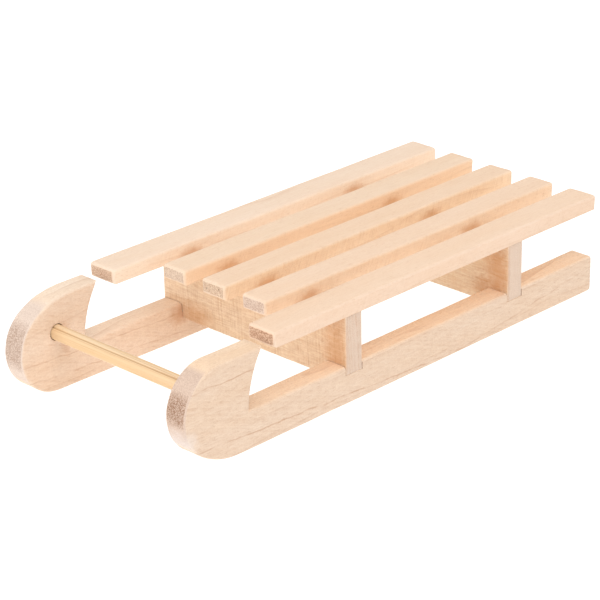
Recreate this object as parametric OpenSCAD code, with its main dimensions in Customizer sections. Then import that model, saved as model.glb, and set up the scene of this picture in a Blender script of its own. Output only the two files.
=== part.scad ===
// Miniature slatted wooden sled, glued together from ten pieces:
// two hooked runners, two cross boards (bolsters), five deck slats and a round front bar.
// Millimetres. +Z is up, the noses point to -Y, +X is the sled's left side.
// The origin is on the ground, in the middle of the sled's footprint.

/* [Sled] */
// Width over the outer faces of the runners
sled_w = 50; // [42:0.5:70]
// Length of a runner, from its nose to its tail
runner_l = 115.4; // [96:0.1:180]

/* [Runners] */
// Thickness of a runner
runner_t = 5.2; // [4.3:0.1:8]
// Height of the straight bar of a runner
bar_h = 7.8; // [6.5:0.1:9.4]
// Height of the hooked head above the ground
head_h = 19.4; // [16.2:0.1:23]
// Height above the ground at which the round of the nose would bottom out
nose_lift = 1.4; // [0.8:0.1:3]
// Distance from the nose to where the sole starts to rise
toe_l = 13.2; // [12:0.1:20]
// Distance from the nose to the sharp inner corner of the hook
neck_l = 15.9; // [13:0.1:20]
// Radius of the hollow at the back of the hook
hook_r = 20; // [14:0.5:30]

/* [Bolsters] */
// Thickness of a bolster
bolster_t = 4.4; // [3.6:0.1:6]
// Height of the top of the bolsters, which carry the slats
deck_z = 18; // [15:0.1:24]
// Depth of the notch that a bolster sits in, below the top of the runner
notch_d = 1.85; // [1:0.05:3]
// Free width of a notch beyond the bolster's thickness
notch_play = 0.2; // [0:0.05:0.5]
// How far the middle of a bolster hangs below the top of the runners
bolster_drop = 3.2; // [3:0.1:5]
// Gap between a bolster's shoulder and the inner face of a runner
shoulder_gap = 0.1; // [0:0.05:0.4]
// Distance from the nose to the front face of the front bolster
front_bolster_from_nose = 41.1; // [32:0.1:50]
// Distance from the tail to the rear face of the rear bolster
rear_bolster_from_tail = 22.9; // [5:0.1:30]

/* [Deck] */
// Width of the three slats in the middle
slat_w = 6.3; // [5:0.1:8]
// Width of the two outer slats
outer_slat_w = 6.9; // [5:0.1:8]
// Thickness of a slat
slat_t = 3.1; // [2:0.1:5]
// Radius of the eased upper edges of a slat
slat_edge_r = 0.4; // [0.1:0.05:0.9]
// How far the outer slats stand out past the runners' outer faces
deck_side = 0.2; // [0:0.1:2]
// How far the slats reach past the tails of the runners
deck_rear = 0.5; // [0:0.1:5]
// Gap between the tip of the hook and the front end of a long slat
tip_gap = 2.7; // [0.5:0.1:10]
// How much further back the short slats start than the long ones
slat_step = 8.8; // [0:0.1:15]

/* [Front bar] */
// Diameter of the bamboo bar
stick_d = 3.1; // [2.5:0.1:4]
// How much wider than the bar its sockets are drilled
socket_play = 0.2; // [0:0.05:0.5]
// Depth of a socket in the inner face of a runner
socket_d = 3; // [1.5:0.1:3.6]
// Distance from the nose to the axis of the bar
stick_from_nose = 8.9; // [6:0.1:12]
// Height of the axis of the bar above the ground
stick_z = 12.2; // [9:0.1:15]

/* [Hidden] */
$fn = 96;
// a cut runs this far past the face that it starts from
past = 1;

// along the sled, with the whole length centred on the origin
nose_y = -(runner_l + deck_rear) / 2;
tail_y = nose_y + runner_l;
deck_rear_y = tail_y + deck_rear;

// nose of a runner: two arcs that touch, one under the toe and one round the nose
nose_r = (head_h - nose_lift) / 2;
nose_c = [nose_y + nose_r, head_h - nose_r];
toe_run = toe_l - nose_r;
toe_r = (toe_run ^ 2 + nose_c[1] ^ 2 - nose_r ^ 2) / (2 * nose_lift);
toe_c = [nose_y + toe_l, toe_r];
toe_dir = (nose_c - toe_c) / norm(nose_c - toe_c);

// hook: the hollow behind the head is one arc, upright where it meets the top of the bar
hook_c = [nose_y + neck_l + hook_r, bar_h];
hook_tip_y = hook_c[0] - sqrt(hook_r ^ 2 - (head_h - bar_h) ^ 2);

// across the sled
runner_in_x = sled_w / 2 - runner_t;
deck_w = sled_w + 2 * deck_side;
slat_pitch = (deck_w - outer_slat_w) / 4;

// bolsters
notch_z = bar_h - notch_d;
front_bolster_y = nose_y + front_bolster_from_nose;
rear_bolster_y = tail_y - rear_bolster_from_tail - bolster_t;

// slats
long_slat_y = hook_tip_y + tip_gap;
short_slat_y = long_slat_y + slat_step;

// side view of a runner, drawn with the sled's Y to the right and Z up
module runner_outline() {
  difference() {
    union() {
      translate([toe_c[0], 0]) square([tail_y - toe_c[0], bar_h]);
      intersection() {
        translate(toe_c) circle(r = toe_r);
        polygon([
          toe_c,
          toe_c + 2 * toe_r * toe_dir,
          [toe_c[0] + 2 * toe_r * toe_dir[0], -toe_r],
          [toe_c[0], -toe_r]
        ]);
      }
      translate(nose_c) circle(r = nose_r);
      translate([nose_c[0], bar_h]) square([hook_c[0] - hook_r / 2 - nose_c[0], head_h - bar_h]);
    }
    intersection() {
      translate(hook_c) circle(r = hook_r);
      translate([hook_c[0] - hook_r, bar_h]) square([hook_r, head_h]);
    }
    bolster_notch(front_bolster_y);
    bolster_notch(rear_bolster_y);
  }
}

module bolster_notch(bolster_y) {
  translate([bolster_y - notch_play / 2, notch_z]) square([bolster_t + notch_play, notch_d + past]);
}

// a runner on the left side; its inner face looks to -X
module runner_blank() {
  difference() {
    translate([runner_in_x, 0, 0]) rotate([90, 0, 90]) linear_extrude(runner_t) runner_outline();
    translate([runner_in_x - past, nose_y + stick_from_nose, stick_z])
      rotate([0, 90, 0]) cylinder(d = stick_d + socket_play, h = socket_d + past);
  }
}

module left_runner() {
  color("#f0d5b4") runner_blank();
}

module right_runner() {
  color("#f0d5b4") mirror([1, 0, 0]) runner_blank();
}

// a cross board: its middle hangs between the runners, its ends sit in their notches
module bolster(bolster_y) {
  middle_w = 2 * (runner_in_x - shoulder_gap);
  color("#e6b98a") translate([0, bolster_y + bolster_t, 0]) rotate([90, 0, 0])
    linear_extrude(bolster_t) {
      translate([-sled_w / 2, notch_z]) square([sled_w, deck_z - notch_z]);
      translate([-middle_w / 2, bar_h - bolster_drop]) square([middle_w, deck_z - bar_h + bolster_drop]);
    }
}

module front_bolster() {
  bolster(front_bolster_y);
}

module rear_bolster() {
  bolster(rear_bolster_y);
}

// cross-section of a slat, standing on the bolsters; only the upper edges are rounded
module slat_section(w) {
  edge_x = w / 2 - slat_edge_r;
  translate([-w / 2, 0]) square([w, slat_t - slat_edge_r]);
  translate([-edge_x, 0]) square([2 * edge_x, slat_t]);
  for (x = [-edge_x, edge_x])
    translate([x, slat_t - slat_edge_r]) circle(r = slat_edge_r, $fn = 48);
}

// place counts from 0 at the centre slat, positive to the left
module slat(place, w, front_y) {
  color("#f5dcbf") translate([place * slat_pitch, deck_rear_y, deck_z]) rotate([90, 0, 0])
    linear_extrude(deck_rear_y - front_y) slat_section(w);
}

module left_outer_slat() {
  slat(2, outer_slat_w, long_slat_y);
}

module left_inner_slat() {
  slat(1, slat_w, short_slat_y);
}

module centre_slat() {
  slat(0, slat_w, short_slat_y);
}

module right_inner_slat() {
  slat(-1, slat_w, short_slat_y);
}

module right_outer_slat() {
  slat(-2, outer_slat_w, long_slat_y);
}

// the round bar reaches the floor of both sockets
module front_bar() {
  half_l = runner_in_x + socket_d;
  color("#f2d59a") translate([-half_l, nose_y + stick_from_nose, stick_z])
    rotate([0, 90, 0]) cylinder(d = stick_d, h = 2 * half_l);
}

left_runner();
right_runner();
front_bolster();
rear_bolster();
left_outer_slat();
left_inner_slat();
centre_slat();
right_inner_slat();
right_outer_slat();
front_bar();
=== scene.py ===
# %% [markdown]
# # A miniature wooden sled
# The sled is a small craft piece, about 116 mm long: ten bare pieces of wood and glue.
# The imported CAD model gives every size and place. This lesson gives each piece its eased
# edges, its uneven hand-cut surface and its own wood, and lights it softly on a pale table.

# %% Load the frame
import math

import bmesh
import bpy
from mathutils import Matrix, Vector


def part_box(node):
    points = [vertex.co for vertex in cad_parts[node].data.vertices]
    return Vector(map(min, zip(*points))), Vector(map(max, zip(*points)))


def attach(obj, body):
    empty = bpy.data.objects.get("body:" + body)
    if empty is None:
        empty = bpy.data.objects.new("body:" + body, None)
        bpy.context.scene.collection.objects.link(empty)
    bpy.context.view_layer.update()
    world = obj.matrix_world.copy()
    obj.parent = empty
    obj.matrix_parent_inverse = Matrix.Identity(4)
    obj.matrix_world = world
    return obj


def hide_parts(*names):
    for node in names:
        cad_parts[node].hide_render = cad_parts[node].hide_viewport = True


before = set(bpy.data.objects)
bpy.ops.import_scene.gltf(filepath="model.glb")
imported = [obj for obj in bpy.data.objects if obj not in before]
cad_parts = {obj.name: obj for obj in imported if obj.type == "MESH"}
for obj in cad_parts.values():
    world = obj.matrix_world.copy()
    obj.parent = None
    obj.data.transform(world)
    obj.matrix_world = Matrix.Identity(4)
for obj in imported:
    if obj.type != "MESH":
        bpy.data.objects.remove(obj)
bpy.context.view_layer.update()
MM = 0.001

# %% [markdown]
# ## Camera
# A long lens from far away keeps the slats nearly parallel, as a product picture does.
# The camera could be turned by hand, but it is easier to say where it stands round the
# sled: an azimuth, an elevation, a distance from a point that it looks at, and a small roll.

# %% Camera
CAMERA_AZIMUTH = 44.69
CAMERA_ELEVATION = 23.34
CAMERA_ROLL = -1.0
CAMERA_DISTANCE = 470 * MM
CAMERA_LENS = 142.5
LOOK_AT = Vector((-1.47, -2.01, 9.08)) * MM


def outward(azimuth, elevation):
    """The direction from the sled to something round it. Azimuth 0 is in front of the noses."""
    turn, rise = math.radians(azimuth), math.radians(elevation)
    level = math.cos(rise)
    return Vector((math.sin(turn) * level, -math.cos(turn) * level, math.sin(rise)))


def aimed(thing, azimuth, elevation, distance, target, roll=0.0):
    """Puts a camera or a lamp round the target and turns it to look at the target."""
    back = outward(azimuth, elevation)
    thing.location = target + back * distance
    turned = back.to_track_quat("Z", "Y").to_matrix() @ Matrix.Rotation(math.radians(roll), 3, "Z")
    thing.rotation_euler = turned.to_euler()


camera = bpy.data.objects.new("camera", bpy.data.cameras.new("camera"))
bpy.context.scene.collection.objects.link(camera)
camera.data.lens = CAMERA_LENS
camera.data.sensor_width = 36
camera.data.clip_start = 10 * MM
aimed(camera, CAMERA_AZIMUTH, CAMERA_ELEVATION, CAMERA_DISTANCE, LOOK_AT, CAMERA_ROLL)
bpy.context.scene.camera = camera
print("camera at mm", [round(c / MM, 2) for c in camera.location])

# %% [markdown]
# ## Light and table
# The wood is pale and matt, so hard lamps would bleach it. A bright white surround gives most
# of the light. A large soft lamp high on the sled's left side and a weaker one, low in front of
# the noses, give the faces a little difference. The table glows, which lifts the shadows under
# the deck, and it lies a hair lower than the soles, because their uneven faces reach that far
# down.

# %% Light and table
SURROUND = 0.76
TABLE_SIZE = 3.0
TABLE_GREY = 0.3
TABLE_GLOW = 0.92
TABLE_DROP = 0.06 * MM


def soft_lamp(name, azimuth, elevation, distance, size, power):
    """A square soft lamp that looks at the middle of the sled."""
    lamp = bpy.data.objects.new(name, bpy.data.lights.new(name, "AREA"))
    bpy.context.scene.collection.objects.link(lamp)
    lamp.data.shape = "SQUARE"
    lamp.data.size = size
    lamp.data.energy = power
    aimed(lamp, azimuth, elevation, distance, LOOK_AT)
    return lamp


world = bpy.data.worlds.new("studio")
bpy.context.scene.world = world
world.use_nodes = True
world.node_tree.nodes["Background"].inputs["Color"].default_value = (1.0, 1.0, 1.0, 1.0)
world.node_tree.nodes["Background"].inputs["Strength"].default_value = SURROUND
side_lamp = soft_lamp("side_lamp", azimuth=66, elevation=58, distance=0.7, size=0.5, power=2.0)
front_lamp = soft_lamp("front_lamp", azimuth=-20, elevation=10, distance=0.7, size=0.4, power=1.25)

bpy.ops.mesh.primitive_plane_add(size=TABLE_SIZE, location=(0, 0, -TABLE_DROP))
table = bpy.context.object
table.name = "table"
paper = bpy.data.materials.new("white_paper")
paper.use_nodes = True
paper_finish = paper.node_tree.nodes["Principled BSDF"]
paper_finish.inputs["Base Color"].default_value = (TABLE_GREY, TABLE_GREY, TABLE_GREY, 1.0)
paper_finish.inputs["Roughness"].default_value = 0.9
paper_finish.inputs["Emission Color"].default_value = (1.0, 1.0, 1.0, 1.0)
paper_finish.inputs["Emission Strength"].default_value = TABLE_GLOW
table.data.materials.append(paper)
bpy.context.scene.view_settings.view_transform = "Standard"
for lamp in (side_lamp, front_lamp):
    print(lamp.name, lamp.data.energy, "W at mm", [round(c / MM) for c in lamp.location])

# %% [markdown]
# ## Shaping tools
# Every piece starts as a primitive at its real place and is shaped in Edit Mode. These short
# helpers select by place, cut rows and apply modifiers, so that each piece reads as a list of
# bench steps. NEAR is how close two places must be to count as the same one.

# %% Shaping tools
NEAR = 0.01 * MM
SMOOTH_ANGLE = math.radians(40)


def alone(piece):
    """Selects one piece and nothing else, and makes it active."""
    bpy.ops.object.select_all(action="DESELECT")
    piece.select_set(True)
    bpy.context.view_layer.objects.active = piece


def edit(piece, kind):
    """Opens a piece in Edit Mode to select VERT, EDGE or FACE."""
    alone(piece)
    bpy.ops.object.mode_set(mode="EDIT")
    bpy.ops.mesh.select_mode(type=kind)
    bpy.ops.mesh.select_all(action="DESELECT")


def close_edit():
    """Goes back to Object Mode."""
    bpy.ops.object.mode_set(mode="OBJECT")


def choose(piece, kind, test):
    """In Edit Mode, selects the verts, edges or faces that pass a test, and counts them."""
    bpy.ops.mesh.select_all(action="DESELECT")
    mesh = bmesh.from_edit_mesh(piece.data)
    found = [part for part in getattr(mesh, kind) if test(part)]
    for part in found:
        part.select_set(True)
    mesh.select_flush_mode()
    bmesh.update_edit_mesh(piece.data)
    return len(found)


def middle(part):
    """The middle of an edge or face."""
    return sum((v.co for v in part.verts), Vector()) / len(part.verts)


def along(edge, axis):
    """Whether an edge runs along an axis, 0 to 2."""
    run = edge.verts[1].co - edge.verts[0].co
    return abs(run[axis]) > 0.999 * run.length


def block(name, low, high):
    """A cube primitive stretched between two corners, with its origin left at the world's."""
    bpy.ops.object.select_all(action="DESELECT")
    bpy.ops.mesh.primitive_cube_add(size=1, location=(low + high) / 2, scale=high - low)
    piece = bpy.context.object
    piece.name = name
    piece.data.name = name
    bpy.ops.object.transform_apply(location=True, rotation=True, scale=True)
    return piece


def cut_rows(piece, axis, spacing):
    """Cuts a piece into slices of about one width, with planes across an axis."""
    edit(piece, "VERT")
    places = [v.co[axis] for v in bmesh.from_edit_mesh(piece.data).verts]
    low, high = min(places), max(places)
    count = round((high - low) / spacing)
    normal = Vector([float(i == axis) for i in range(3)])
    for step in range(1, count):
        bpy.ops.mesh.select_all(action="SELECT")
        bpy.ops.mesh.bisect(plane_co=normal * (low + (high - low) * step / count), plane_no=normal)
    close_edit()


def take_off(piece, cutter):
    """Cuts one piece out of another, as a saw or a drill would, and removes the cutter."""
    alone(piece)
    cut = piece.modifiers.new("cut", "BOOLEAN")
    cut.object = cutter
    cut.operation = "DIFFERENCE"
    cut.solver = "EXACT"
    bpy.ops.object.modifier_apply(modifier="cut")
    bpy.data.objects.remove(cutter)


def unevenness(piece, feature, depth):
    """Moves the surface in and out by clouds, with feature as their size on each axis."""
    bpy.ops.object.select_all(action="DESELECT")
    bpy.ops.object.empty_add()
    pattern_place = bpy.context.object
    pattern_place.scale = feature
    bpy.context.view_layer.update()
    pattern = bpy.data.textures.new(piece.name + "_unevenness", "CLOUDS")
    pattern.noise_scale = 1.0
    pattern.noise_depth = 1
    alone(piece)
    push = piece.modifiers.new("unevenness", "DISPLACE")
    push.texture = pattern
    push.texture_coords = "OBJECT"
    push.texture_coords_object = pattern_place
    push.strength = depth
    push.mid_level = 0.5
    bpy.ops.object.modifier_apply(modifier="unevenness")
    bpy.data.objects.remove(pattern_place)
    bpy.data.textures.remove(pattern)


def finish_piece(piece, node, material):
    """Smooths the shading of the eased edges, gives the material and hands the piece over."""
    alone(piece)
    bpy.ops.object.shade_smooth_by_angle(angle=SMOOTH_ANGLE)
    piece.data.materials.clear()
    piece.data.materials.append(material)
    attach(piece, "root")
    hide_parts(node)
    print(piece.name, len(piece.data.polygons), "faces")


print("edges below this angle look round:", round(math.degrees(SMOOTH_ANGLE)), "degrees")

# %% [markdown]
# ## Shader helpers
# The materials are built from nodes. A node placed by one call, with its inputs given as
# numbers or as other nodes' outputs, keeps each recipe short enough to read. Shader patterns
# are laid out in millimetres, so Object coordinates, which are metres, are scaled up first.

# %% Shader helpers
TO_MILLIMETRES = (1 / MM, 1 / MM, 1 / MM)


def srgb(red, green, blue):
    """A colour picked on screen, 0 to 255 each, as the linear colour that shaders use."""
    parts = [part / 255 for part in (red, green, blue)]
    linear = [p / 12.92 if p <= 0.04045 else ((p + 0.055) / 1.055) ** 2.4 for p in parts]
    return (*linear, 1.0)


def plug(tree, socket, value):
    """Links an output to an input, or sets the input's own number."""
    if isinstance(value, bpy.types.NodeSocket):
        tree.links.new(value, socket)
    else:
        socket.default_value = value


def add_node(tree, kind, inputs):
    """Places one node and fills its named inputs."""
    made = tree.nodes.new("ShaderNode" + kind)
    for name, value in inputs.items():
        plug(tree, made.inputs[name], value)
    return made


def maths(tree, operation, *values):
    """One sum on numbers."""
    made = tree.nodes.new("ShaderNodeMath")
    made.operation = operation
    for socket, value in zip(made.inputs, values):
        plug(tree, socket, value)
    return made.outputs[0]


def vectors(tree, operation, *values):
    """One sum on vectors; a length or a dot product comes out as a number."""
    made = tree.nodes.new("ShaderNodeVectorMath")
    made.operation = operation
    for socket, value in zip(made.inputs, values):
        plug(tree, socket, value)
    return made.outputs["Value" if operation in ("LENGTH", "DOT_PRODUCT") else "Vector"]


def stretch(tree, value, low, high, new_low=0.0, new_high=1.0):
    """Maps a range onto another and clamps it."""
    inputs = {
        "Value": value, "From Min": low, "From Max": high, "To Min": new_low, "To Max": new_high}
    return add_node(tree, "MapRange", inputs).outputs["Result"]


def tint(tree, amount, first, second):
    """Mixes two colours by an amount."""
    made = tree.nodes.new("ShaderNodeMix")
    made.data_type = "RGBA"
    plug(tree, made.inputs[0], amount)
    plug(tree, made.inputs[6], first)
    plug(tree, made.inputs[7], second)
    return made.outputs[2]


def between(tree, amount, first, second):
    """Mixes two numbers by an amount."""
    made = tree.nodes.new("ShaderNodeMix")
    plug(tree, made.inputs[0], amount)
    plug(tree, made.inputs[2], first)
    plug(tree, made.inputs[3], second)
    return made.outputs[0]


def noise(tree, place, scales, detail=2.0, roughness=0.5):
    """A noise whose spots are 1/scale millimetres long on each axis."""
    scaled = vectors(tree, "MULTIPLY", place, scales)
    inputs = {"Vector": scaled, "Scale": 1.0, "Detail": detail, "Roughness": roughness}
    return add_node(tree, "TexNoise", inputs).outputs["Fac"]


def new_group(name, inputs, outputs):
    """An empty shader group with named sockets: (name, kind, default) each."""
    tree = bpy.data.node_groups.new(name, "ShaderNodeTree")
    for socket_name, kind, default in inputs:
        socket = tree.interface.new_socket(
            socket_name, in_out="INPUT", socket_type="NodeSocket" + kind)
        socket.default_value = default
    for socket_name, kind in outputs:
        tree.interface.new_socket(socket_name, in_out="OUTPUT", socket_type="NodeSocket" + kind)
    given = tree.nodes.new("NodeGroupInput").outputs
    result = tree.nodes.new("NodeGroupOutput").inputs
    return tree, given, result


def use_group(tree, group, inputs):
    """Places a shader group in a tree and fills its named inputs."""
    made = tree.nodes.new("ShaderNodeGroup")
    made.node_tree = group
    for name, value in inputs.items():
        plug(tree, made.inputs[name], value)
    return made.outputs


print("screen grey 128 is", round(srgb(128, 128, 128)[0], 3), "in linear light")

# %% [markdown]
# ## The figure of the wood
# Wood is a bundle of fibres laid down in yearly rings. One group makes both from a point in
# millimetres whose Y runs along the fibres: fine fibres, a slow drift of tone, short dark
# pores, and thin ring lines round a heart that lies outside the piece. A flat picture of grain
# could be stretched over the faces, but a solid pattern runs on round every edge, as real
# grain does.

# %% Wood figure group
RING_SHARPNESS = 14.0


def make_figure_group():
    """Fibres, drift, pores and ring lines of wood whose fibres run along Y."""
    tree, given, result = new_group(
        "wood_figure",
        [("Place", "Vector", (0, 0, 0)), ("Seed", "Float", 0.0), ("Ring Width", "Float", 3.0),
         ("Heart", "Vector", (0, 0, 0)), ("Wander", "Float", 1.5)],
        [("Fibre", "Float"), ("Drift", "Float"), ("Pores", "Float"), ("Rings", "Float")],
    )
    shift = vectors(tree, "SCALE", (17.3, 61.7, 5.9))
    plug(tree, shift.node.inputs["Scale"], given["Seed"])
    place = vectors(tree, "ADD", given["Place"], shift)
    fibre = noise(tree, place, (3.6, 0.22, 3.6), detail=4.0, roughness=0.65)
    plug(tree, result["Fibre"], stretch(tree, fibre, 0.32, 0.68))
    drift = noise(tree, place, (0.22, 0.035, 0.22), detail=3.0, roughness=0.6)
    plug(tree, result["Drift"], stretch(tree, drift, 0.3, 0.7))
    fleck = noise(tree, place, (5.0, 0.9, 5.0), detail=1.0)
    plug(tree, result["Pores"], stretch(tree, fleck, 0.6, 0.74))
    swing = maths(tree, "SUBTRACT", noise(tree, place, (0.06, 0.02, 0.06)), 0.5)
    swing = maths(tree, "MULTIPLY", swing, given["Wander"])
    from_heart = vectors(tree, "SUBTRACT", given["Place"], given["Heart"])
    flat = vectors(tree, "MULTIPLY", from_heart, (1.0, 0.02, 1.0))
    radius = maths(tree, "ADD", vectors(tree, "LENGTH", flat), swing)
    turns = maths(tree, "DIVIDE", radius, given["Ring Width"])
    late = maths(tree, "POWER", maths(tree, "FRACT", turns), RING_SHARPNESS)
    patchy = stretch(tree, noise(tree, place, (0.5, 0.05, 0.5)), 0.4, 0.62, 0.05, 1.0)
    plug(tree, result["Rings"], maths(tree, "MULTIPLY", late, patchy))
    return tree


figure_group = make_figure_group()
print(figure_group.name, "has", len(figure_group.nodes), "nodes")

# %% [markdown]
# ## Cut ends and eased edges
# Where a face looks along the fibres, their cut ends soak up light: a pale greyish zone, and a
# dark speckled one where the cut is square. The eased edges are paler, where raw fibres stand
# up. Both could be painted by hand, but the direction that a face looks in already tells where
# they belong, so each group makes its mask from the surface normal.

# %% Cut ends and eased edges


def make_end_group():
    """A pale zone, its dark core and the speckle of both, where a face cuts the fibres."""
    tree, given, result = new_group(
        "cut_ends",
        [("Place", "Vector", (0, 0, 0)), ("Normal", "Vector", (0, 0, 1)),
         ("Fibre Direction", "Vector", (0, 1, 0)), ("Zone Start", "Float", 0.8),
         ("Core Start", "Float", 0.93), ("Core Fade", "Float", 0.035)],
        [("Zone", "Float"), ("Core", "Float"), ("Speckle", "Float")],
    )
    facing = vectors(tree, "DOT_PRODUCT", given["Normal"], given["Fibre Direction"])
    facing = maths(tree, "ABSOLUTE", facing)
    ragged = maths(tree, "SUBTRACT", noise(tree, given["Place"], (1.3, 1.3, 1.3), detail=3.0), 0.5)
    facing = maths(tree, "MULTIPLY_ADD", ragged, 0.03, facing)
    zone_end = maths(tree, "ADD", given["Zone Start"], 0.12)
    core_end = maths(tree, "ADD", given["Core Start"], given["Core Fade"])
    plug(tree, result["Zone"], stretch(tree, facing, given["Zone Start"], zone_end))
    plug(tree, result["Core"], stretch(tree, facing, given["Core Start"], core_end))
    dots = noise(tree, given["Place"], (4.2, 4.2, 4.2), roughness=0.7)
    plug(tree, result["Speckle"], stretch(tree, dots, 0.42, 0.6))
    return tree


def make_edge_group():
    """A ragged mask on faces turned between two axes. Round Nose leaves out curved ends."""
    tree, given, result = new_group(
        "eased_edges",
        [("Place", "Vector", (0, 0, 0)), ("Normal", "Vector", (0, 0, 1)),
         ("Round Nose", "Float", 0.0)],
        [("Mask", "Float")],
    )
    squared = vectors(tree, "MULTIPLY", given["Normal"], given["Normal"])
    parts = add_node(tree, "SeparateXYZ", {"Vector": squared}).outputs
    side = maths(tree, "MULTIPLY", parts["X"], maths(tree, "ADD", parts["Y"], parts["Z"]))
    nose = maths(tree, "MULTIPLY", parts["Y"], parts["Z"])
    nose = maths(tree, "MULTIPLY", nose, maths(tree, "SUBTRACT", 1.0, given["Round Nose"]))
    turned = maths(tree, "MULTIPLY", maths(tree, "ADD", side, nose), 4.0)
    ragged = noise(tree, given["Place"], (1.6, 1.6, 1.6), detail=3.0)
    rough = stretch(tree, ragged, 0.3, 0.6, 0.35, 1.0)
    plug(tree, result["Mask"], maths(tree, "MULTIPLY", stretch(tree, turned, 0.1, 0.8), rough))
    return tree


end_group = make_end_group()
edge_group = make_edge_group()
print([group.name for group in (end_group, edge_group)])

# %% [markdown]
# ## Saw marks, stains, painted light and growth lines
# A saw leaves fine ribs, straight but uneven in depth. The stain group makes an amber spot with a
# ragged rim round a centre: at the joints it is partly squeezed-out glue and partly painted shade
# in the corners. The same group makes a pale patch of painted light and a pinhole in another
# colour. A growth line is one thin dark line that runs down a board's side.
# The ring pattern makes many such lines by itself; this group puts one where it is wanted.

# %% Saw marks, stains, painted light and growth lines


def make_saw_group():
    """Ribs across a direction, on the faces that look along another."""
    tree, given, result = new_group(
        "saw_marks",
        [("Place", "Vector", (0, 0, 0)), ("Normal", "Vector", (0, 0, 1)),
         ("Face", "Vector", (1, 0, 0)), ("Across", "Vector", (0, 1, 0)),
         ("Spacing", "Float", 1.0), ("Seed", "Float", 0.0)],
        [("Marks", "Float")],
    )
    run = vectors(tree, "DOT_PRODUCT", given["Place"], given["Across"])
    bend = maths(tree, "MULTIPLY", noise(tree, given["Place"], (0.25, 0.25, 0.25)), 1.2)
    run = maths(tree, "ADD", maths(tree, "DIVIDE", run, given["Spacing"]), bend)
    line = add_node(tree, "CombineXYZ", {"X": run, "Y": given["Seed"], "Z": 0.0}).outputs["Vector"]
    ribs = noise(tree, line, (1.0, 1.0, 1.0), detail=3.0, roughness=0.75)
    depth = noise(tree, given["Place"], (0.6, 0.6, 0.6), detail=3.0)
    depth = stretch(tree, depth, 0.35, 0.65, 0.15, 1.0)
    marks = maths(tree, "MULTIPLY", stretch(tree, ribs, 0.42, 0.66), depth)
    on_face = vectors(tree, "DOT_PRODUCT", given["Normal"], given["Face"])
    on_face = stretch(tree, maths(tree, "ABSOLUTE", on_face), 0.5, 0.65)
    plug(tree, result["Marks"], maths(tree, "MULTIPLY", marks, on_face))
    return tree


def make_stain_and_light_group():
    """A spot with a ragged rim round a centre, with its own reach on each axis."""
    tree, given, result = new_group(
        "stain_and_painted_light",
        [("Place", "Vector", (0, 0, 0)), ("Centre", "Vector", (0, 0, 0)),
         ("Reach", "Vector", (1, 1, 1)), ("Strength", "Float", 0.5)],
        [("Mask", "Float")],
    )
    offset = vectors(tree, "SUBTRACT", given["Place"], given["Centre"])
    offset = vectors(tree, "DIVIDE", offset, given["Reach"])
    cloud = noise(tree, given["Place"], (0.9, 0.9, 0.9), detail=4.0, roughness=0.7)
    ragged = maths(tree, "SUBTRACT", cloud, 0.5)
    far = maths(tree, "MULTIPLY_ADD", ragged, 1.1, vectors(tree, "LENGTH", offset))
    inside = stretch(tree, far, 0.25, 1.0, 1.0, 0.0)
    plug(tree, result["Mask"], maths(tree, "MULTIPLY", inside, given["Strength"]))
    return tree


def make_line_group():
    """One wavering line through a start, which rises by its slope along Y."""
    tree, given, result = new_group(
        "growth_line",
        [("Place", "Vector", (0, 0, 0)), ("Start", "Vector", (0, 0, 0)),
         ("Slope", "Float", 0.0), ("Strength", "Float", 0.5)],
        [("Mask", "Float")],
    )
    offset = vectors(tree, "SUBTRACT", given["Place"], given["Start"])
    parts = add_node(tree, "SeparateXYZ", {"Vector": offset}).outputs
    level = maths(tree, "MULTIPLY", parts["Y"], given["Slope"])
    above = maths(tree, "SUBTRACT", parts["Z"], level)
    wave = maths(tree, "SUBTRACT", noise(tree, given["Place"], (0.16, 0.16, 0.16), detail=3.0), 0.5)
    away = maths(tree, "ABSOLUTE", maths(tree, "MULTIPLY_ADD", wave, 1.6, above))
    thin = stretch(tree, away, 0.04, 0.2, 1.0, 0.0)
    faint = noise(tree, given["Place"], (0.5, 0.3, 0.5), detail=3.0)
    mask = maths(tree, "MULTIPLY", thin, stretch(tree, faint, 0.36, 0.6, 0.1, 1.0))
    plug(tree, result["Mask"], maths(tree, "MULTIPLY", mask, given["Strength"]))
    return tree


saw_group = make_saw_group()
stain_and_light_group = make_stain_and_light_group()
line_group = make_line_group()
print("shader groups:", [group.name for group in bpy.data.node_groups])

# %% [markdown]
# ## Bare wood
# The nine sawn pieces come from different strips of the same pale wood, so one recipe makes
# every wood material, and each piece passes its own tones, rings and seed. Layer by layer: a
# slow drift of tone, fibres, pores, rings, a fine fuzz, growth lines, cut ends, saw marks, pale
# edges, and last the stains, among them painted shade at joints and painted light on one nose.
# The faces that look one way can have a second tone, lighter or warmer: painted light that
# stands in for the light reaching those faces. Fibres, pores, ribs, fuzz and speckle, as heights,
# also feed a shallow bump.

# %% Bare wood recipe
# Amber of squeezed-out glue, also used as painted shade in the corners at the joints.
GLUE_AND_SHADE = srgb(204, 142, 88)
# A pale colour used as painted light, where the table throws light up onto the lower nose.
PAINTED_TABLE_LIGHT = srgb(247, 240, 236)
PINHOLE = srgb(104, 66, 40)
WARMER = (0.97, 0.9, 0.82)
PALE_SPECKLE = 0.25
CORE_DEPTH = 0.25
EDGE_DULLNESS = 0.55
WOOD_BUMP = 0.07 * MM


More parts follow.
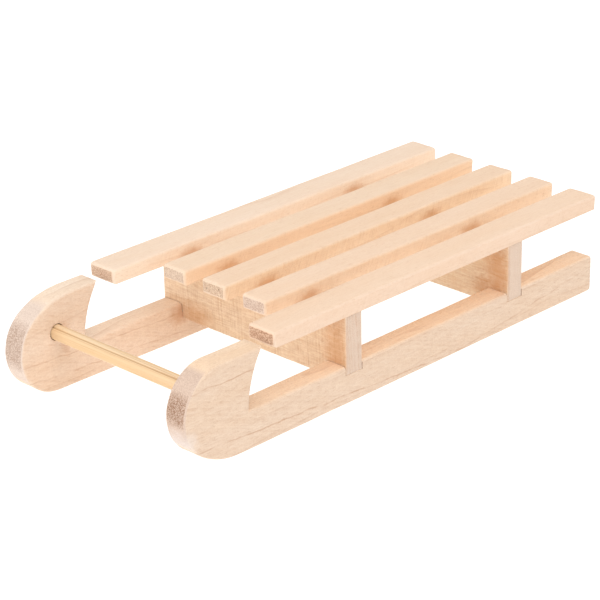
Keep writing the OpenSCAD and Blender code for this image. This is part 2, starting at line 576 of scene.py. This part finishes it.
def bare_wood(
        name, *, tone, dark, pale_end, dark_end, seed, painted_light_tone=None, painted_light_face=(0, 0, 1),
        fibres="Y", tilt=0.0, rings=5.5, heart=(0, 0, -60), wander=8.0,
        drift=0.3, fibre=0.16, pores=0.2, ring_line=0.3, fuzz=0.1,
        saw=0.15, saw_face=(1, 0, 0), saw_across=(0, 0.42, 0.91), saw_spacing=0.55,
        edge_light=0.35, round_nose=0.0, zone_start=0.8, core_start=0.93, core_fade=0.035,
        speckle=0.6, lines=(), stains_and_painted_light=()):
    """A matt, unvarnished wood. Colours are linear, sizes are millimetres, amounts are 0 to 1."""
    made = bpy.data.materials.new(name)
    made.use_nodes = True
    tree = made.node_tree
    finish = tree.nodes["Principled BSDF"]
    spot = tree.nodes.new("ShaderNodeTexCoord").outputs
    place = vectors(tree, "MULTIPLY", spot["Object"], TO_MILLIMETRES)
    normal = spot["Normal"]
    grain_place, direction = place, (0.0, math.cos(tilt), math.sin(tilt))
    if fibres == "X":
        parts = add_node(tree, "SeparateXYZ", {"Vector": place}).outputs
        swapped = add_node(tree, "CombineXYZ", {"X": parts["Y"], "Y": parts["X"], "Z": parts["Z"]})
        grain_place, direction = swapped.outputs["Vector"], (1.0, 0.0, 0.0)
    figure = use_group(tree, figure_group, {
        "Place": grain_place, "Seed": seed, "Ring Width": rings, "Heart": heart, "Wander": wander})
    ends = use_group(tree, end_group, {
        "Place": place, "Normal": normal, "Fibre Direction": direction,
        "Zone Start": zone_start, "Core Start": core_start, "Core Fade": core_fade})
    edges = use_group(
        tree, edge_group, {"Place": place, "Normal": normal, "Round Nose": round_nose})
    ribs = use_group(tree, saw_group, {
        "Place": place, "Normal": normal, "Face": saw_face, "Across": saw_across,
        "Spacing": saw_spacing, "Seed": seed})
    fluff = noise(tree, place, (2.6, 2.6, 2.6), detail=4.0, roughness=0.8)
    fluff = stretch(tree, fluff, 0.4, 0.62)

    # Painted light: faces that look along the given face direction get a second tone, for the light
    # that reaches them.
    painted_light_facing = maths(tree, "ABSOLUTE", vectors(tree, "DOT_PRODUCT", normal, painted_light_face))
    ground = tint(tree, stretch(tree, painted_light_facing, 0.3, 0.97), tone, painted_light_tone or tone)
    warm = vectors(tree, "MULTIPLY", ground, WARMER)
    colour = tint(tree, maths(tree, "MULTIPLY", figure["Drift"], drift * 2), ground, warm)
    for mask, depth in (
            (figure["Fibre"], fibre), (figure["Pores"], pores),
            (figure["Rings"], ring_line), (fluff, fuzz)):
        colour = tint(tree, maths(tree, "MULTIPLY", mask, depth), colour, dark)
    for start, slope, strength in lines:
        mask = use_group(tree, line_group, {
            "Place": place, "Start": start, "Slope": slope, "Strength": strength})["Mask"]
        colour = tint(tree, mask, colour, dark)
    dots = maths(tree, "MULTIPLY", ends["Speckle"], speckle)
    pale = tint(tree, maths(tree, "MULTIPLY", dots, PALE_SPECKLE), pale_end, dark_end)
    core_ground = tint(tree, CORE_DEPTH, pale_end, dark_end)
    core = tint(tree, dots, core_ground, dark_end)
    cut = tint(tree, ends["Core"], pale, core)
    colour = tint(tree, ends["Zone"], colour, cut)
    colour = tint(tree, maths(tree, "MULTIPLY", ribs["Marks"], saw), colour, dark)
    light = tuple(1 - (1 - channel) * EDGE_DULLNESS for channel in tone[:3]) + (1.0,)
    colour = tint(tree, maths(tree, "MULTIPLY", edges["Mask"], edge_light), colour, light)
    # The stains are glue and pinholes, and also painted shade at the joints and painted light on
    # the left nose.
    for centre, reach, strength, stain_and_light_colour in stains_and_painted_light:
        mask = use_group(tree, stain_and_light_group, {
            "Place": place, "Centre": centre, "Reach": reach, "Strength": strength})["Mask"]
        colour = tint(tree, mask, colour, stain_and_light_colour)
    tree.links.new(colour, finish.inputs["Base Color"])

    height = maths(tree, "MULTIPLY", figure["Fibre"], -0.35)
    height = maths(tree, "MULTIPLY_ADD", figure["Pores"], -0.6, height)
    height = maths(tree, "MULTIPLY_ADD", ribs["Marks"], -4.0 * saw, height)
    height = maths(tree, "MULTIPLY_ADD", fluff, -0.5, height)
    height = between(tree, ends["Zone"], height, maths(tree, "MULTIPLY", ends["Speckle"], -1.0))
    bump = add_node(tree, "Bump", {"Height": height, "Strength": 0.7, "Distance": WOOD_BUMP})
    tree.links.new(bump.outputs["Normal"], finish.inputs["Normal"])
    tree.links.new(stretch(tree, figure["Fibre"], 0.0, 1.0, 0.66, 0.85), finish.inputs["Roughness"])
    finish.inputs["Specular IOR Level"].default_value = 0.2
    return made


# The amber that serves for glue and for painted shade.
print("glue in linear light:", [round(channel, 2) for channel in GLUE_AND_SHADE[:3]])

# %% [markdown]
# ## Runners
# Each runner is one board sawn to a curved outline: a long low bar that ends at the front in
# an upright hooked head. The outline could be a curve object, but a craftsman draws it with a
# straightedge and a compass, and Edit Mode has both: a vertex is extruded for each straight and
# spun for each arc. The tail's two corners are rounded while the outline is still flat. The
# measures are the ones that the CAD drawing of the runner uses.

# %% Runner outline
BAR_HEIGHT = 7.8 * MM
NOSE_LIFT = 1.4 * MM
TOE_LENGTH = 13.2 * MM
NECK_LENGTH = 15.9 * MM
HOOK_RADIUS = 20 * MM
TAIL_EASE = 0.7 * MM

runner_low, runner_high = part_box("left_runner")
nose_y, tail_y, head_top = runner_low.y, runner_high.y, runner_high.z
nose_radius = (head_top - NOSE_LIFT) / 2
nose_centre = Vector((runner_low.x, nose_y + nose_radius, head_top - nose_radius))
toe_run = TOE_LENGTH - nose_radius
toe_radius = (toe_run**2 + nose_centre.z**2 - nose_radius**2) / (2 * NOSE_LIFT)
toe_centre = Vector((runner_low.x, nose_y + TOE_LENGTH, toe_radius))
hook_centre = Vector((runner_low.x, nose_y + NECK_LENGTH + HOOK_RADIUS, BAR_HEIGHT))
hook_turn = math.asin((head_top - BAR_HEIGHT) / HOOK_RADIUS)
toe_turn = math.atan2(toe_run, toe_centre.z - nose_centre.z)
print("arc radii in mm:", [round(r / MM, 2) for r in (nose_radius, toe_radius, HOOK_RADIUS)])


def straight(to_y, to_z):
    """Draws on from the selected vertex to a point in the side view."""
    mesh = bmesh.from_edit_mesh(bpy.context.object.data)
    end = next(v for v in mesh.verts if v.select).co
    run = (0, to_y - end.y, to_z - end.z)
    bpy.ops.mesh.extrude_region_move(TRANSFORM_OT_translate={"value": run})


def arc(centre, degrees, steps):
    """Draws on from the selected vertex round a centre, anticlockwise as seen from the left."""
    turn = -math.radians(degrees)
    bpy.ops.mesh.spin(steps=steps, angle=turn, center=centre, axis=(1, 0, 0))


def draw_runner(name):
    """The outline on the inner face, filled, with the tail's corners rounded."""
    bpy.ops.object.select_all(action="DESELECT")
    bpy.ops.mesh.primitive_plane_add(size=MM, location=(runner_low.x, tail_y, 0))
    piece = bpy.context.object
    piece.name = piece.data.name = name
    bpy.ops.object.transform_apply(location=True, rotation=True, scale=True)
    edit(piece, "VERT")
    bpy.ops.mesh.select_all(action="SELECT")
    bpy.ops.mesh.merge(type="CENTER")
    bpy.ops.mesh.select_all(action="SELECT")
    straight(tail_y, BAR_HEIGHT)
    straight(hook_centre.y - HOOK_RADIUS, BAR_HEIGHT)
    arc(hook_centre, -math.degrees(hook_turn), 10)
    straight(nose_centre.y, head_top)
    arc(nose_centre, 180 - math.degrees(toe_turn), 48)
    arc(toe_centre, math.degrees(toe_turn), 12)
    bpy.ops.mesh.select_all(action="SELECT")
    bpy.ops.mesh.edge_face_add()
    choose(piece, "verts", lambda v: v.co.y > tail_y - NEAR)
    bpy.ops.mesh.bevel(offset=TAIL_EASE, segments=4, affect="VERTICES")
    close_edit()
    return piece


left_runner = draw_runner("left_runner_wood")
print("outline points:", len(left_runner.data.vertices))

# %% [markdown]
# The board is given its thickness, and its two rims lose their sharpness, as sandpaper takes
# it. The bevel's clamp stays off, because it would shrink the whole rim to suit the shortest
# edge. The sharp tip of the hook is blunted last, by a smaller bevel: rounded first, its short
# edges would fold over each other under the rim's wider one. Rows of cuts then make room for a
# slight unevenness in the faces, which a Displace modifier pushes in.

# %% Runner board
RIM_EASE = 0.55 * MM
TIP_EASE = 0.12 * MM
RUNNER_ROWS = ((1, 2.2 * MM), (2, 0.9 * MM), (0, 0.8 * MM))
RUNNER_UNEVENNESS = 0.1 * MM

edit(left_runner, "FACE")
bpy.ops.mesh.select_all(action="SELECT")
thickness = runner_high.x - runner_low.x
bpy.ops.mesh.extrude_region_move(TRANSFORM_OT_translate={"value": (thickness, 0, 0)})
bpy.ops.mesh.select_all(action="SELECT")
bpy.ops.mesh.normals_make_consistent(inside=False)
bpy.ops.mesh.select_mode(type="EDGE")
choose(left_runner, "edges", lambda e: abs(e.verts[0].co.x - e.verts[1].co.x) < NEAR)
bpy.ops.mesh.bevel(offset=RIM_EASE, segments=4, affect="EDGES", clamp_overlap=False)
tip_y = hook_centre.y - HOOK_RADIUS * math.cos(hook_turn)
found = choose(
    left_runner, "edges",
    lambda e: along(e, 0) and middle(e).z > head_top - NEAR and middle(e).y > tip_y - NEAR)
bpy.ops.mesh.bevel(offset=TIP_EASE, segments=2, affect="EDGES")
print("edges at the hook's tip:", found)
close_edit()
for axis, spacing in RUNNER_ROWS:
    cut_rows(left_runner, axis, spacing)
unevenness(left_runner, (3 * MM, 9 * MM, 3 * MM), RUNNER_UNEVENNESS)
print("left runner in mm:", [round(side / MM, 2) for side in left_runner.dimensions])

# %% [markdown]
# The right runner is the same board turned over. A negative scale turns a mesh inside out, so
# its normals are recalculated after it is applied. The two noses were sawn by eye, and the
# right one hangs a little lower: the foremost points are moved down, and Proportional Editing
# takes their neighbours along, less and less with distance.

# %% Second runner
NOSE_DROOP = 1.3 * MM
DROOP_FRONT = 4.5 * MM
DROOP_REACH = 9 * MM

alone(left_runner)
bpy.ops.object.duplicate()
right_runner = bpy.context.object
right_runner.name = right_runner.data.name = "right_runner_wood"
right_runner.scale.x = -1
bpy.ops.object.transform_apply(location=True, rotation=True, scale=True)
edit(right_runner, "VERT")
bpy.ops.mesh.select_all(action="SELECT")
bpy.ops.mesh.normals_make_consistent(inside=False)
choose(right_runner, "verts", lambda v: v.co.y < nose_y + DROOP_FRONT)
bpy.ops.transform.translate(
    value=(0, 0, -NOSE_DROOP), use_proportional_edit=True,
    proportional_edit_falloff="SMOOTH", proportional_size=DROOP_REACH)
close_edit()
lowest = min(v.co.z for v in right_runner.data.vertices)
print("right runner's lowest point in mm:", round(lowest / MM, 3))

# %% [markdown]
# Each runner has two notches in its top edge, where the bolsters stand, and one blind socket in
# its inner face, which holds an end of the front bar. A notch is two saw cuts and a chisel, and
# a socket is one hole that stops short. Boolean modifiers cut both with a block and a cylinder.
# They come after the easing and the droop, so that their edges stay crisp and they stay in line
# with the pieces that they hold.

# %% Notches and sockets
NOTCH_DEPTH = 1.85 * MM
NOTCH_PLAY = 0.2 * MM
SOCKET_RADIUS = 1.73 * MM
SOCKET_DEPTH = 3.0 * MM
PAST = 1.0 * MM
bar_low, bar_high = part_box("front_bar")
bar_axis = (bar_low + bar_high) / 2


def cut_joints(piece, side):
    """Saws the notches and drills the socket. side is 1 for the left runner, -1 for the right."""
    across = sorted(x * side for x in (runner_low.x - PAST, runner_high.x + PAST))
    for bolster in ("front_bolster", "rear_bolster"):
        low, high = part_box(bolster)
        notch_low = Vector((across[0], low.y - NOTCH_PLAY / 2, BAR_HEIGHT - NOTCH_DEPTH))
        notch_high = Vector((across[1], high.y + NOTCH_PLAY / 2, BAR_HEIGHT + PAST))
        take_off(piece, block("notch_saw", notch_low, notch_high))
    bpy.ops.object.select_all(action="DESELECT")
    socket_x = (runner_low.x + (SOCKET_DEPTH - PAST) / 2) * side
    bpy.ops.mesh.primitive_cylinder_add(
        vertices=48, radius=SOCKET_RADIUS, depth=SOCKET_DEPTH + PAST,
        location=(socket_x, bar_axis.y, bar_axis.z), rotation=(0, math.pi / 2, 0))
    take_off(piece, bpy.context.object)


cut_joints(left_runner, 1)
cut_joints(right_runner, -1)
print("faces after the cuts:", len(left_runner.data.polygons), len(right_runner.data.polygons))

# %% [markdown]
# The two runners come from different boards, so their tones and growth lines differ. Their flat
# top and bottom faces get a lighter tone as painted light, for the light that reaches the tops
# under the deck. Their fibres rise a little towards the nose, which moves the band of cut ends a
# little up its round. The left nose is the darker one; low down on it, a pale patch is painted
# light from the table below. On the right runner's inner face, amber spots by the front bolster
# and by the bar are partly glue and partly painted shade in those corners.

# %% Runner wood
RUNNER_WOOD = dict(
    tilt=math.radians(-15), round_nose=1.0, zone_start=0.55, saw_across=(0, 0.33, 0.94), saw=0.28,
    fuzz=0.16, fibre=0.16, edge_light=0.1)
LEFT_LINES = (
    ((0, -55.5, 15.8), -0.02, 0.5), ((0, -55.0, 4.0), -0.052, 0.55), ((0, 35.9, 2.8), 0.126, 0.4))
# Painted light: a pale patch low on the left nose, for the light that the table throws up onto it.
LEFT_NOSE_PAINTED_LIGHT = (((22.4, -57.3, 5.6), (8.0, 3.0, 4.2), 0.42, PAINTED_TABLE_LIGHT),)
RIGHT_LINES = (((0, -40.0, 6.6), -0.03, 0.45), ((0, -52.0, 3.4), -0.05, 0.4))
# Amber spots by the front bolster and the bar: partly glue, partly painted shade in those corners.
RIGHT_GLUE_AND_SHADE = (
    ((-19.8, -17.5, 5.5), (1.2, 3.5, 3.0), 0.5, GLUE_AND_SHADE),
    ((-19.8, -47.0, 10.0), (1.0, 1.3, 4.0), 0.35, GLUE_AND_SHADE))

# The second tone of each runner is painted light on its top and bottom faces.
left_runner_wood = bare_wood(
    "left_runner_bare_wood", tone=srgb(237, 215, 193), painted_light_tone=srgb(249, 223, 195),
    dark=srgb(186, 136, 100), pale_end=srgb(225, 199, 180), dark_end=srgb(142, 97, 66), seed=1.0,
    core_start=0.925, core_fade=0.06, speckle=0.85, lines=LEFT_LINES, stains_and_painted_light=LEFT_NOSE_PAINTED_LIGHT,
    **RUNNER_WOOD)
right_runner_wood = bare_wood(
    "right_runner_bare_wood", tone=srgb(243, 219, 196), painted_light_tone=srgb(251, 232, 211),
    dark=srgb(190, 138, 98), pale_end=srgb(235, 214, 198), dark_end=srgb(160, 124, 100), seed=2.0,
    core_start=0.82, core_fade=0.13, speckle=0.7, lines=RIGHT_LINES, stains_and_painted_light=RIGHT_GLUE_AND_SHADE,
    **RUNNER_WOOD)
finish_piece(left_runner, "left_runner", left_runner_wood)
finish_piece(right_runner, "right_runner", right_runner_wood)

# %% [markdown]
# ## Bolsters
# Two cross boards carry the deck. Their ends stand in notches in the runners, and their middle
# hangs a little lower between them. A block makes the middle; its end faces, cut along the
# height of the notches, are extruded into the ends. The faces keep the upright ridges of the
# saw, which real geometry shows better than a bump where the light grazes them.

# %% Bolsters
SHOULDER_GAP = 0.03 * MM
BOLSTER_EASE = 0.2 * MM
BOLSTER_ROWS = ((0, 0.28 * MM), (2, 1.1 * MM), (1, 1.1 * MM))
BOLSTER_RIDGES = 0.07 * MM


def make_bolster(node):
    """A cross board whose ends are lapped to stand in the notches."""
    low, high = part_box(node)
    shoulder = runner_low.x - SHOULDER_GAP
    seat = BAR_HEIGHT - NOTCH_DEPTH
    piece = block(
        node + "_wood", Vector((-shoulder, low.y, low.z)), Vector((shoulder, high.y, high.z)))
    edit(piece, "FACE")
    bpy.ops.mesh.select_all(action="SELECT")
    bpy.ops.mesh.bisect(plane_co=(0, 0, seat), plane_no=(0, 0, 1))
    for side in (-1, 1):
        choose(piece, "faces", lambda f: f.normal.x * side > 0.9 and middle(f).z > seat)
        reach = (high.x - shoulder) * side
        bpy.ops.mesh.extrude_region_move(TRANSFORM_OT_translate={"value": (reach, 0, 0)})
    bpy.ops.mesh.select_mode(type="EDGE")
    choose(piece, "edges", lambda e: e.calc_face_angle(0) > 1)
    bpy.ops.mesh.bevel(offset=BOLSTER_EASE, segments=2, affect="EDGES")
    close_edit()
    for axis, spacing in BOLSTER_ROWS:
        cut_rows(piece, axis, spacing)
    unevenness(piece, (0.5 * MM, 4 * MM, 9 * MM), BOLSTER_RIDGES)
    return piece


front_bolster = make_bolster("front_bolster")
rear_bolster = make_bolster("rear_bolster")
print("front bolster in mm:", [round(side / MM, 2) for side in front_bolster.dimensions])

# %% [markdown]
# The bolsters lie across the sled, so their fibres run along X and their ends show cut fibres.
# The front one has the stronger saw marks. Where they meet the runners, amber spots are partly
# squeezed-out glue and partly painted shade in those corners.

# %% Bolster wood
BOLSTER_WOOD = dict(
    pale_end=srgb(229, 205, 185), dark_end=srgb(172, 138, 116), fibres="X",
    saw_face=(0.707, 0.707, 0), saw_across=(1, 0.9, 0.06), saw_spacing=0.45, fibre=0.38, drift=0.5,
    fuzz=0.16, zone_start=0.86, core_start=1.2)
# Amber spots where the bolsters meet the runners: partly glue, partly painted shade in those
# corners.
FRONT_GLUE_AND_SHADE = (
    ((-16.0, -16.8, 6.0), (6.0, 1.0, 4.0), 0.5, GLUE_AND_SHADE),
    ((22.6, -16.8, 11.0), (4.2, 1.0, 10.0), 0.48, GLUE_AND_SHADE))
REAR_GLUE_AND_SHADE = (
    ((18.5, 30.2, 7.5), (3.0, 1.0, 3.5), 0.5, GLUE_AND_SHADE),
    ((22.6, 30.2, 12.0), (4.6, 1.0, 10.0), 0.6, GLUE_AND_SHADE))

front_bolster_wood = bare_wood(
    "front_bolster_bare_wood", tone=srgb(253, 232, 205), dark=srgb(190, 134, 84), seed=3.0,
    saw=0.5, stains_and_painted_light=FRONT_GLUE_AND_SHADE, **BOLSTER_WOOD)
rear_bolster_wood = bare_wood(
    "rear_bolster_bare_wood", tone=srgb(252, 236, 210), dark=srgb(196, 138, 84), seed=4.0,
    saw=0.16, rings=2.2, heart=(20, 0, 30), wander=10.0, ring_line=0.45, stains_and_painted_light=REAR_GLUE_AND_SHADE,
    **BOLSTER_WOOD)
finish_piece(front_bolster, "front_bolster", front_bolster_wood)
finish_piece(rear_bolster, "rear_bolster", rear_bolster_wood)

# %% [markdown]
# ## Deck slats
# Five strips of the same section lie across the bolsters; the three in the middle start
# further back than the outer two. A slat is a block whose ends and upper edges are rounded by
# one bevel, because one bevel makes clean corners where three edges meet. The lower edges only
# lose their sharpness. Long shallow waves run along it, because a thin strip is planed with the
# fibres and never comes out quite flat.

# %% Slats
SLAT_EASE = 0.6 * MM
SLAT_CHAMFER = 0.1 * MM
SLAT_ROWS = ((1, 1.5 * MM), (0, 0.5 * MM), (2, 0.5 * MM))
SLAT_WAVES = 0.16 * MM


def make_slat(node):
    """A strip of the deck with rounded ends and upper edges."""
    low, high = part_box(node)
    piece = block(node + "_wood", low, high)
    edit(piece, "EDGE")
    mid_z = (low.z + high.z) / 2
    choose(piece, "edges", lambda e: not along(e, 1) or middle(e).z > mid_z)
    bpy.ops.mesh.bevel(offset=SLAT_EASE, segments=4, affect="EDGES")
    choose(piece, "edges", lambda e: along(e, 1) and middle(e).z < low.z + NEAR)
    bpy.ops.mesh.bevel(offset=SLAT_CHAMFER, segments=1, affect="EDGES")
    close_edit()
    for axis, spacing in SLAT_ROWS:
        cut_rows(piece, axis, spacing)
    unevenness(piece, (2.5 * MM, 22 * MM, 2.5 * MM), SLAT_WAVES)
    return piece


slats = {node: make_slat(node) for node in (
    "right_outer_slat", "right_inner_slat", "centre_slat", "left_inner_slat", "left_outer_slat")}
print("slat lengths in mm:", [round(slat.dimensions.y / MM, 1) for slat in slats.values()])

# %% [markdown]
# Every slat was sawn from its own strip, so each has its own tone. Its sides get a second tone,
# warmer and mostly lighter, as painted light for the warm light that bounces into the gaps. Their
# left sides darken above the bolsters, partly glue and partly painted shade where the slats cross
# the bolsters, except on the left outer one, and two pinholes show in the front end of the centre
# slat. The heart of the rings lies beside and below each slat, which draws the lines along it.

# %% Slat wood
SLAT_LOOKS = {
    "right_outer_slat": dict(
        tone=srgb(246, 224, 203), painted_light_tone=srgb(255, 234, 211), dark=srgb(206, 156, 112),
        pale_end=srgb(245, 219, 193), dark_end=srgb(185, 141, 111), seed=5.0),
    "right_inner_slat": dict(
        tone=srgb(244, 219, 194), painted_light_tone=srgb(253, 220, 187), dark=srgb(204, 156, 112),
        pale_end=srgb(245, 225, 204), dark_end=srgb(198, 167, 143), seed=6.0),
    "centre_slat": dict(
        tone=srgb(244, 217, 191), painted_light_tone=srgb(255, 227, 195), dark=srgb(200, 146, 98),
        pale_end=srgb(243, 222, 198), dark_end=srgb(196, 158, 128), seed=7.0, saw=0.34),
    "left_inner_slat": dict(
        tone=srgb(245, 218, 193), painted_light_tone=srgb(255, 227, 197), dark=srgb(202, 150, 104),
        pale_end=srgb(244, 225, 208), dark_end=srgb(193, 159, 138), seed=8.0, saw=0.26),
    "left_outer_slat": dict(
        tone=srgb(245, 218, 193), painted_light_tone=srgb(240, 213, 190), dark=srgb(206, 158, 114),
        pale_end=srgb(249, 216, 185), dark_end=srgb(173, 121, 92), seed=9.0),
}
SLAT_WOOD = dict(
    painted_light_face=(1, 0, 0), zone_start=0.87, core_start=0.95, speckle=0.8,
    saw_across=(0, 0.93, -0.36), saw_spacing=0.5, drift=0.24, fibre=0.12, fuzz=0.07,
    ring_line=0.28, edge_light=0.15)
GLUE_AND_SHADE_PLACES = (-15.5, 31.5)
PINHOLES = {"centre_slat": ((-1.7, 19.4), (1.6, 20.0))}

for node, slat in slats.items():
    low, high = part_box(node)
    left_face, bottom = high.x / MM, low.z / MM
    # Marks above the bolsters: partly glue, partly painted shade where the slats cross them; the
    # open left outer side gets none.
    glue_and_shade_strength = 0.0 if node == "left_outer_slat" else 0.5
    marks = [
        ((left_face, y, bottom + 0.5), (1.5, 4.2, 1.7), glue_and_shade_strength, GLUE_AND_SHADE) for y in GLUE_AND_SHADE_PLACES]
    marks += [
        ((x, low.y / MM, z), (0.2, 1.0, 0.2), 0.9, PINHOLE) for x, z in PINHOLES.get(node, ())]
    heart = ((low.x + high.x) / 2 / MM + 9, 0, -14)
    material = bare_wood(
        node + "_bare_wood", heart=heart, stains_and_painted_light=marks, **{**SLAT_WOOD, **SLAT_LOOKS[node]})
    finish_piece(slat, node, material)

# %% [markdown]
# ## Front bar
# A split bamboo skewer ties the two noses together. Bamboo has straight dark strands in a
# yellow ground and no rings, and it splits along them. The bar is a cylinder with eased ends.
# One line of its points is pushed in for the split, and a pattern stretched along it gives its
# flutes.

# %% Front bar
BAR_SIDES = 48
BAR_EASE = 0.3 * MM
BAR_FLUTES = 0.16 * MM
SPLIT_RISE = math.radians(56.25)
SPLIT_SIDE = Vector((0, -math.cos(SPLIT_RISE), math.sin(SPLIT_RISE)))
SPLIT_DEPTH = 0.14 * MM


def from_axis(point):
    """The offset of a point from the axis of the bar."""
    return Vector((0, point.y - bar_axis.y, point.z - bar_axis.z))


bar_radius = (bar_high.z - bar_low.z) / 2
bpy.ops.object.select_all(action="DESELECT")
bpy.ops.mesh.primitive_cylinder_add(
    vertices=BAR_SIDES, radius=bar_radius, depth=bar_high.x - bar_low.x,
    location=bar_axis, rotation=(0, math.pi / 2, 0))
front_bar = bpy.context.object
front_bar.name = front_bar.data.name = "front_bar_bamboo"
bpy.ops.object.transform_apply(location=True, rotation=True, scale=True)
edit(front_bar, "EDGE")
choose(front_bar, "edges", lambda e: not along(e, 0))
bpy.ops.mesh.bevel(offset=BAR_EASE, segments=3, affect="EDGES")
close_edit()
cut_rows(front_bar, 0, 1.2 * MM)
edit(front_bar, "VERT")
half_side = math.cos(math.pi / BAR_SIDES)
split_points = choose(
    front_bar, "verts", lambda v: from_axis(v.co).normalized().dot(SPLIT_SIDE) > half_side)
bpy.ops.transform.translate(value=SPLIT_SIDE * -SPLIT_DEPTH)
close_edit()
unevenness(front_bar, (30 * MM, 0.9 * MM, 0.9 * MM), BAR_FLUTES)
print("points pushed in for the split:", split_points)

# %% [markdown]
# The strands are a noise squeezed thin across the bar and stretched along it. The split lies in
# its own shade, so the same side that was pushed in is also darkened.

# %% Bamboo
SPLIT_SHADE = (0.992, 0.999, 0.55)


def bamboo(name):
    """Split bamboo: yellow ground, straight dark strands and a shaded split."""
    made = bpy.data.materials.new(name)
    made.use_nodes = True
    tree = made.node_tree
    finish = tree.nodes["Principled BSDF"]
    spot = tree.nodes.new("ShaderNodeTexCoord").outputs
    place = vectors(tree, "MULTIPLY", spot["Object"], TO_MILLIMETRES)
    strands = noise(tree, place, (0.03, 3.2, 3.2), detail=3.0, roughness=0.6)
    broad = noise(tree, place, (0.02, 0.7, 0.7), detail=1.0)
    colour = tint(
        tree, stretch(tree, broad, 0.35, 0.65), srgb(237, 211, 176), srgb(228, 190, 142))
    dark = stretch(tree, strands, 0.52, 0.7)
    colour = tint(tree, maths(tree, "MULTIPLY", dark, 0.6), colour, srgb(188, 132, 76))
    offset = vectors(tree, "SUBTRACT", place, tuple(bar_axis / MM))
    aside = vectors(tree, "NORMALIZE", vectors(tree, "MULTIPLY", offset, (0.0, 1.0, 1.0)))
    turned = vectors(tree, "DOT_PRODUCT", aside, tuple(SPLIT_SIDE))
    rim, floor, depth = SPLIT_SHADE
    shade = maths(tree, "MULTIPLY", stretch(tree, turned, rim, floor), depth)
    colour = tint(tree, shade, colour, srgb(168, 118, 66))
    tree.links.new(colour, finish.inputs["Base Color"])
    tree.links.new(stretch(tree, strands, 0.3, 0.7, 0.4, 0.6), finish.inputs["Roughness"])
    bump = add_node(tree, "Bump", {"Height": dark, "Strength": 0.5, "Distance": -0.05 * MM})
    tree.links.new(bump.outputs["Normal"], finish.inputs["Normal"])
    return made


finish_piece(front_bar, "front_bar", bamboo("split_bamboo"))
